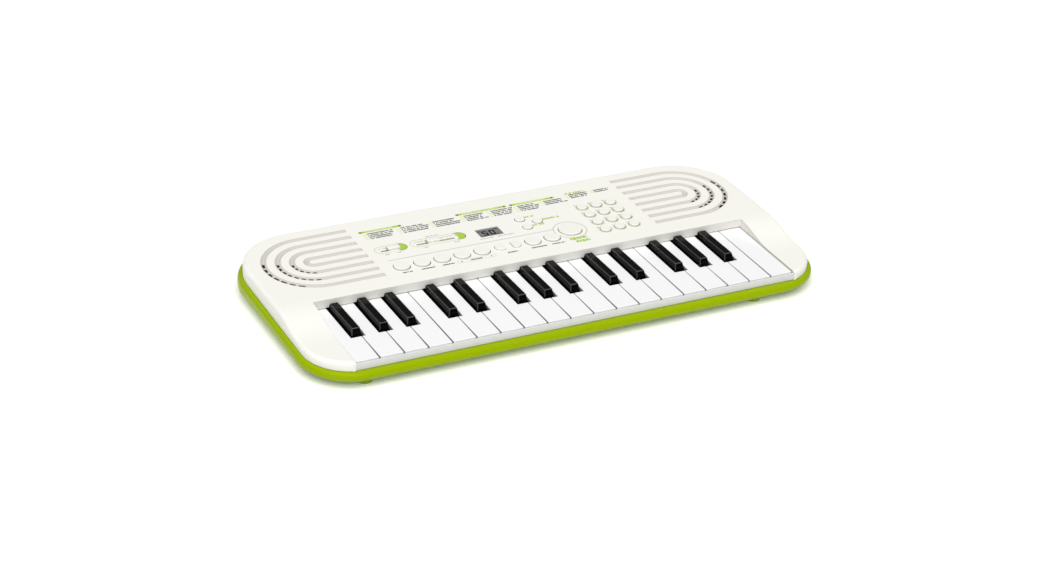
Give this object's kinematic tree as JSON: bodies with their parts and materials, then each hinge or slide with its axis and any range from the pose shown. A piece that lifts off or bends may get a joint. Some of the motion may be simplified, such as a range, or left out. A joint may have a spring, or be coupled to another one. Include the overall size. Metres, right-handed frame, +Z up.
{
  "type": "electronic keyboard",
  "caption": "Small electronic keyboard with hinged piano keys, round buttons, slide switches, a display and twin speakers in a rounded two-part case.",
  "frame": {"origin": "centre of the footprint, on the surface the feet stand on", "axes": "+X along the keys from the lowest note to the highest, +Y away from the player, +Z up"},
  "size_m": [0.446, 0.2081, 0.0304],
  "materials": {
    "white_shell": "satin",
    "lime_shell": "semi-gloss",
    "grey_strip": "satin",
    "foot_lime": "satin",
    "steel": "brushed",
    "cover_lime": "satin",
    "cell_sleeve": "satin",
    "board_green": "satin",
    "dome_rubber": "matte",
    "display_grey": "glossy",
    "speaker_black": "matte",
    "jack_black": "matte",
    "knob_white": "satin",
    "button_white": "satin",
    "key_white": "semi-gloss",
    "key_black": "glossy"
  },
  "bodies": {
    "case": {"upper_case": "white_shell", "lower_tray": "lime_shell", "front_strip": "grey_strip", "feet": "foot_lime", "case_screws": "steel", "battery_cells": "cell_sleeve", "battery_contacts": "steel", "circuit_boards": "board_green", "rubber_domes": "dome_rubber", "key_axle": "steel", "lcd_display": "display_grey", "speakers": "speaker_black", "jack_sockets": "jack_black"},
    "battery_cover": {"battery_cover": "cover_lime"},
    "power_knob": {"power_knob": "knob_white"},
    "volume_knob": {"volume_knob": "knob_white"},
    "tone_button_1": {"tone_button_1": "button_white"},
    "tone_button_2": {"tone_button_2": "button_white"},
    "tone_button_3": {"tone_button_3": "button_white"},
    "tone_button_4": {"tone_button_4": "button_white"},
    "tone_button_5": {"tone_button_5": "button_white"},
    "tempo_down": {"tempo_down": "button_white"},
    "tempo_up": {"tempo_up": "button_white"},
    "rhythm_button_1": {"rhythm_button_1": "button_white"},
    "rhythm_button_2": {"rhythm_button_2": "button_white"},
    "start_button": {"start_button": "button_white"},
    "mode_buttons": {"mode_buttons": "button_white"},
    "number_pad": {"number_pad": "button_white"},
    "white_key_01": {"white_key_01": "key_white"},
    "white_key_02": {"white_key_02": "key_white"},
    "white_key_03": {"white_key_03": "key_white"},
    "white_key_04": {"white_key_04": "key_white"},
    "white_key_05": {"white_key_05": "key_white"},
    "white_key_06": {"white_key_06": "key_white"},
    "white_key_07": {"white_key_07": "key_white"},
    "white_key_08": {"white_key_08": "key_white"},
    "white_key_09": {"white_key_09": "key_white"},
    "white_key_10": {"white_key_10": "key_white"},
    "white_key_11": {"white_key_11": "key_white"},
    "white_key_12": {"white_key_12": "key_white"},
    "white_key_13": {"white_key_13": "key_white"},
    "white_key_14": {"white_key_14": "key_white"},
    "white_key_15": {"white_key_15": "key_white"},
    "white_key_16": {"white_key_16": "key_white"},
    "white_key_17": {"white_key_17": "key_white"},
    "white_key_18": {"white_key_18": "key_white"},
    "white_key_19": {"white_key_19": "key_white"},
    "black_key_01": {"black_key_01": "key_black"},
    "black_key_02": {"black_key_02": "key_black"},
    "black_key_03": {"black_key_03": "key_black"},
    "black_key_04": {"black_key_04": "key_black"},
    "black_key_05": {"black_key_05": "key_black"},
    "black_key_06": {"black_key_06": "key_black"},
    "black_key_07": {"black_key_07": "key_black"},
    "black_key_08": {"black_key_08": "key_black"},
    "black_key_09": {"black_key_09": "key_black"},
    "black_key_10": {"black_key_10": "key_black"},
    "black_key_11": {"black_key_11": "key_black"},
    "black_key_12": {"black_key_12": "key_black"},
    "black_key_13": {"black_key_13": "key_black"}
  },
  "joints": [
    {"name": "cover_lift", "type": "slide", "parent": "case", "child": "battery_cover", "axis": [0, 0, -1], "range_m": [0, 0.02]},
    {"name": "fader_power", "type": "slide", "parent": "case", "child": "power_knob", "axis": [1, 0, 0], "range_m": [-0.0065, 0.0008]},
    {"name": "fader_volume", "type": "slide", "parent": "case", "child": "volume_knob", "axis": [1, 0, 0], "range_m": [-0.0105, 0.016]},
    {"name": "key_01_press", "type": "hinge", "parent": "case", "child": "white_key_01", "pos_m": [0, 0.003, 0.014], "axis": [1, 0, 0], "range_deg": [0, 2.3], "stiffness_Nm_per_rad": 0.5, "springref_deg": -4.58, "deforming": ["rubber_domes"]},
    {"name": "key_02_press", "type": "hinge", "parent": "case", "child": "black_key_01", "pos_m": [0, 0.003, 0.014], "axis": [1, 0, 0], "range_deg": [0, 2.3], "stiffness_Nm_per_rad": 0.5, "springref_deg": -4.58, "deforming": ["rubber_domes"]},
    {"name": "key_03_press", "type": "hinge", "parent": "case", "child": "white_key_02", "pos_m": [0, 0.003, 0.014], "axis": [1, 0, 0], "range_deg": [0, 2.3], "stiffness_Nm_per_rad": 0.5, "springref_deg": -4.58, "deforming": ["rubber_domes"]},
    {"name": "key_04_press", "type": "hinge", "parent": "case", "child": "black_key_02", "pos_m": [0, 0.003, 0.014], "axis": [1, 0, 0], "range_deg": [0, 2.3], "stiffness_Nm_per_rad": 0.5, "springref_deg": -4.58, "deforming": ["rubber_domes"]},
    {"name": "key_05_press", "type": "hinge", "parent": "case", "child": "white_key_03", "pos_m": [0, 0.003, 0.014], "axis": [1, 0, 0], "range_deg": [0, 2.3], "stiffness_Nm_per_rad": 0.5, "springref_deg": -4.58, "deforming": ["rubber_domes"]},
    {"name": "key_06_press", "type": "hinge", "parent": "case", "child": "black_key_03", "pos_m": [0, 0.003, 0.014], "axis": [1, 0, 0], "range_deg": [0, 2.3], "stiffness_Nm_per_rad": 0.5, "springref_deg": -4.58, "deforming": ["rubber_domes"]},
    {"name": "key_07_press", "type": "hinge", "parent": "case", "child": "white_key_04", "pos_m": [0, 0.003, 0.014], "axis": [1, 0, 0], "range_deg": [0, 2.3], "stiffness_Nm_per_rad": 0.5, "springref_deg": -4.58, "deforming": ["rubber_domes"]},
    {"name": "key_08_press", "type": "hinge", "parent": "case", "child": "white_key_05", "pos_m": [0, 0.003, 0.014], "axis": [1, 0, 0], "range_deg": [0, 2.3], "stiffness_Nm_per_rad": 0.5, "springref_deg": -4.58, "deforming": ["rubber_domes"]},
    {"name": "key_09_press", "type": "hinge", "parent": "case", "child": "black_key_04", "pos_m": [0, 0.003, 0.014], "axis": [1, 0, 0], "range_deg": [0, 2.3], "stiffness_Nm_per_rad": 0.5, "springref_deg": -4.58, "deforming": ["rubber_domes"]},
    {"name": "key_10_press", "type": "hinge", "parent": "case", "child": "white_key_06", "pos_m": [0, 0.003, 0.014], "axis": [1, 0, 0], "range_deg": [0, 2.3], "stiffness_Nm_per_rad": 0.5, "springref_deg": -4.58, "deforming": ["rubber_domes"]},
    {"name": "key_11_press", "type": "hinge", "parent": "case", "child": "black_key_05", "pos_m": [0, 0.003, 0.014], "axis": [1, 0, 0], "range_deg": [0, 2.3], "stiffness_Nm_per_rad": 0.5, "springref_deg": -4.58, "deforming": ["rubber_domes"]},
    {"name": "key_12_press", "type": "hinge", "parent": "case", "child": "white_key_07", "pos_m": [0, 0.003, 0.014], "axis": [1, 0, 0], "range_deg": [0, 2.3], "stiffness_Nm_per_rad": 0.5, "springref_deg": -4.58, "deforming": ["rubber_domes"]},
    {"name": "key_13_press", "type": "hinge", "parent": "case", "child": "white_key_08", "pos_m": [0, 0.003, 0.014], "axis": [1, 0, 0], "range_deg": [0, 2.3], "stiffness_Nm_per_rad": 0.5, "springref_deg": -4.58, "deforming": ["rubber_domes"]},
    {"name": "key_14_press", "type": "hinge", "parent": "case", "child": "black_key_06", "pos_m": [0, 0.003, 0.014], "axis": [1, 0, 0], "range_deg": [0, 2.3], "stiffness_Nm_per_rad": 0.5, "springref_deg": -4.58, "deforming": ["rubber_domes"]},
    {"name": "key_15_press", "type": "hinge", "parent": "case", "child": "white_key_09", "pos_m": [0, 0.003, 0.014], "axis": [1, 0, 0], "range_deg": [0, 2.3], "stiffness_Nm_per_rad": 0.5, "springref_deg": -4.58, "deforming": ["rubber_domes"]},
    {"name": "key_16_press", "type": "hinge", "parent": "case", "child": "black_key_07", "pos_m": [0, 0.003, 0.014], "axis": [1, 0, 0], "range_deg": [0, 2.3], "stiffness_Nm_per_rad": 0.5, "springref_deg": -4.58, "deforming": ["rubber_domes"]},
    {"name": "key_17_press", "type": "hinge", "parent": "case", "child": "white_key_10", "pos_m": [0, 0.003, 0.014], "axis": [1, 0, 0], "range_deg": [0, 2.3], "stiffness_Nm_per_rad": 0.5, "springref_deg": -4.58, "deforming": ["rubber_domes"]},
    {"name": "key_18_press", "type": "hinge", "parent": "case", "child": "black_key_08", "pos_m": [0, 0.003, 0.014], "axis": [1, 0, 0], "range_deg": [0, 2.3], "stiffness_Nm_per_rad": 0.5, "springref_deg": -4.58, "deforming": ["rubber_domes"]},
    {"name": "key_19_press", "type": "hinge", "parent": "case", "child": "white_key_11", "pos_m": [0, 0.003, 0.014], "axis": [1, 0, 0], "range_deg": [0, 2.3], "stiffness_Nm_per_rad": 0.5, "springref_deg": -4.58, "deforming": ["rubber_domes"]},
    {"name": "key_20_press", "type": "hinge", "parent": "case", "child": "white_key_12", "pos_m": [0, 0.003, 0.014], "axis": [1, 0, 0], "range_deg": [0, 2.3], "stiffness_Nm_per_rad": 0.5, "springref_deg": -4.58, "deforming": ["rubber_domes"]},
    {"name": "key_21_press", "type": "hinge", "parent": "case", "child": "black_key_09", "pos_m": [0, 0.003, 0.014], "axis": [1, 0, 0], "range_deg": [0, 2.3], "stiffness_Nm_per_rad": 0.5, "springref_deg": -4.58, "deforming": ["rubber_domes"]},
    {"name": "key_22_press", "type": "hinge", "parent": "case", "child": "white_key_13", "pos_m": [0, 0.003, 0.014], "axis": [1, 0, 0], "range_deg": [0, 2.3], "stiffness_Nm_per_rad": 0.5, "springref_deg": -4.58, "deforming": ["rubber_domes"]},
    {"name": "key_23_press", "type": "hinge", "parent": "case", "child": "black_key_10", "pos_m": [0, 0.003, 0.014], "axis": [1, 0, 0], "range_deg": [0, 2.3], "stiffness_Nm_per_rad": 0.5, "springref_deg": -4.58, "deforming": ["rubber_domes"]},
    {"name": "key_24_press", "type": "hinge", "parent": "case", "child": "white_key_14", "pos_m": [0, 0.003, 0.014], "axis": [1, 0, 0], "range_deg": [0, 2.3], "stiffness_Nm_per_rad": 0.5, "springref_deg": -4.58, "deforming": ["rubber_domes"]},
    {"name": "key_25_press", "type": "hinge", "parent": "case", "child": "white_key_15", "pos_m": [0, 0.003, 0.014], "axis": [1, 0, 0], "range_deg": [0, 2.3], "stiffness_Nm_per_rad": 0.5, "springref_deg": -4.58, "deforming": ["rubber_domes"]},
    {"name": "key_26_press", "type": "hinge", "parent": "case", "child": "black_key_11", "pos_m": [0, 0.003, 0.014], "axis": [1, 0, 0], "range_deg": [0, 2.3], "stiffness_Nm_per_rad": 0.5, "springref_deg": -4.58, "deforming": ["rubber_domes"]},
    {"name": "key_27_press", "type": "hinge", "parent": "case", "child": "white_key_16", "pos_m": [0, 0.003, 0.014], "axis": [1, 0, 0], "range_deg": [0, 2.3], "stiffness_Nm_per_rad": 0.5, "springref_deg": -4.58, "deforming": ["rubber_domes"]},
    {"name": "key_28_press", "type": "hinge", "parent": "case", "child": "black_key_12", "pos_m": [0, 0.003, 0.014], "axis": [1, 0, 0], "range_deg": [0, 2.3], "stiffness_Nm_per_rad": 0.5, "springref_deg": -4.58, "deforming": ["rubber_domes"]},
    {"name": "key_29_press", "type": "hinge", "parent": "case", "child": "white_key_17", "pos_m": [0, 0.003, 0.014], "axis": [1, 0, 0], "range_deg": [0, 2.3], "stiffness_Nm_per_rad": 0.5, "springref_deg": -4.58, "deforming": ["rubber_domes"]},
    {"name": "key_30_press", "type": "hinge", "parent": "case", "child": "black_key_13", "pos_m": [0, 0.003, 0.014], "axis": [1, 0, 0], "range_deg": [0, 2.3], "stiffness_Nm_per_rad": 0.5, "springref_deg": -4.58, "deforming": ["rubber_domes"]},
    {"name": "key_31_press", "type": "hinge", "parent": "case", "child": "white_key_18", "pos_m": [0, 0.003, 0.014], "axis": [1, 0, 0], "range_deg": [0, 2.3], "stiffness_Nm_per_rad": 0.5, "springref_deg": -4.58, "deforming": ["rubber_domes"]},
    {"name": "key_32_press", "type": "hinge", "parent": "case", "child": "white_key_19", "pos_m": [0, 0.003, 0.014], "axis": [1, 0, 0], "range_deg": [0, 2.3], "stiffness_Nm_per_rad": 0.5, "springref_deg": -4.58, "deforming": ["rubber_domes"]},
    {"name": "push_start", "type": "slide", "parent": "case", "child": "start_button", "axis": [0, 0, -1], "range_m": [0, 0.0008], "stiffness_N_per_m": 400, "springref_m": -0.0012, "deforming": ["rubber_domes"]},
    {"name": "push_modes", "type": "slide", "parent": "case", "child": "mode_buttons", "axis": [0, 0, -1], "range_m": [0, 0.0008], "stiffness_N_per_m": 400, "springref_m": -0.0012, "deforming": ["rubber_domes"]},
    {"name": "push_number_pad", "type": "slide", "parent": "case", "child": "number_pad", "axis": [0, 0, -1], "range_m": [0, 0.0008], "stiffness_N_per_m": 400, "springref_m": -0.0012, "deforming": ["rubber_domes"]},
    {"name": "push_tempo_down", "type": "slide", "parent": "case", "child": "tempo_down", "axis": [0, 0, -1], "range_m": [0, 0.0008], "stiffness_N_per_m": 400, "springref_m": -0.0012, "deforming": ["rubber_domes"]},
    {"name": "push_tempo_up", "type": "slide", "parent": "case", "child": "tempo_up", "axis": [0, 0, -1], "range_m": [0, 0.0008], "stiffness_N_per_m": 400, "springref_m": -0.0012, "deforming": ["rubber_domes"]},
    {"name": "push_rhythm_1", "type": "slide", "parent": "case", "child": "rhythm_button_1", "axis": [0, 0, -1], "range_m": [0, 0.0008], "stiffness_N_per_m": 400, "springref_m": -0.0012, "deforming": ["rubber_domes"]},
    {"name": "push_rhythm_2", "type": "slide", "parent": "case", "child": "rhythm_button_2", "axis": [0, 0, -1], "range_m": [0, 0.0008], "stiffness_N_per_m": 400, "springref_m": -0.0012, "deforming": ["rubber_domes"]},
    {"name": "push_tone_1", "type": "slide", "parent": "case", "child": "tone_button_1", "axis": [0, 0, -1], "range_m": [0, 0.0008], "stiffness_N_per_m": 400, "springref_m": -0.0012, "deforming": ["rubber_domes"]},
    {"name": "push_tone_2", "type": "slide", "parent": "case", "child": "tone_button_2", "axis": [0, 0, -1], "range_m": [0, 0.0008], "stiffness_N_per_m": 400, "springref_m": -0.0012, "deforming": ["rubber_domes"]},
    {"name": "push_tone_3", "type": "slide", "parent": "case", "child": "tone_button_3", "axis": [0, 0, -1], "range_m": [0, 0.0008], "stiffness_N_per_m": 400, "springref_m": -0.0012, "deforming": ["rubber_domes"]},
    {"name": "push_tone_4", "type": "slide", "parent": "case", "child": "tone_button_4", "axis": [0, 0, -1], "range_m": [0, 0.0008], "stiffness_N_per_m": 400, "springref_m": -0.0012, "deforming": ["rubber_domes"]},
    {"name": "push_tone_5", "type": "slide", "parent": "case", "child": "tone_button_5", "axis": [0, 0, -1], "range_m": [0, 0.0008], "stiffness_N_per_m": 400, "springref_m": -0.0012, "deforming": ["rubber_domes"]}
  ]
}
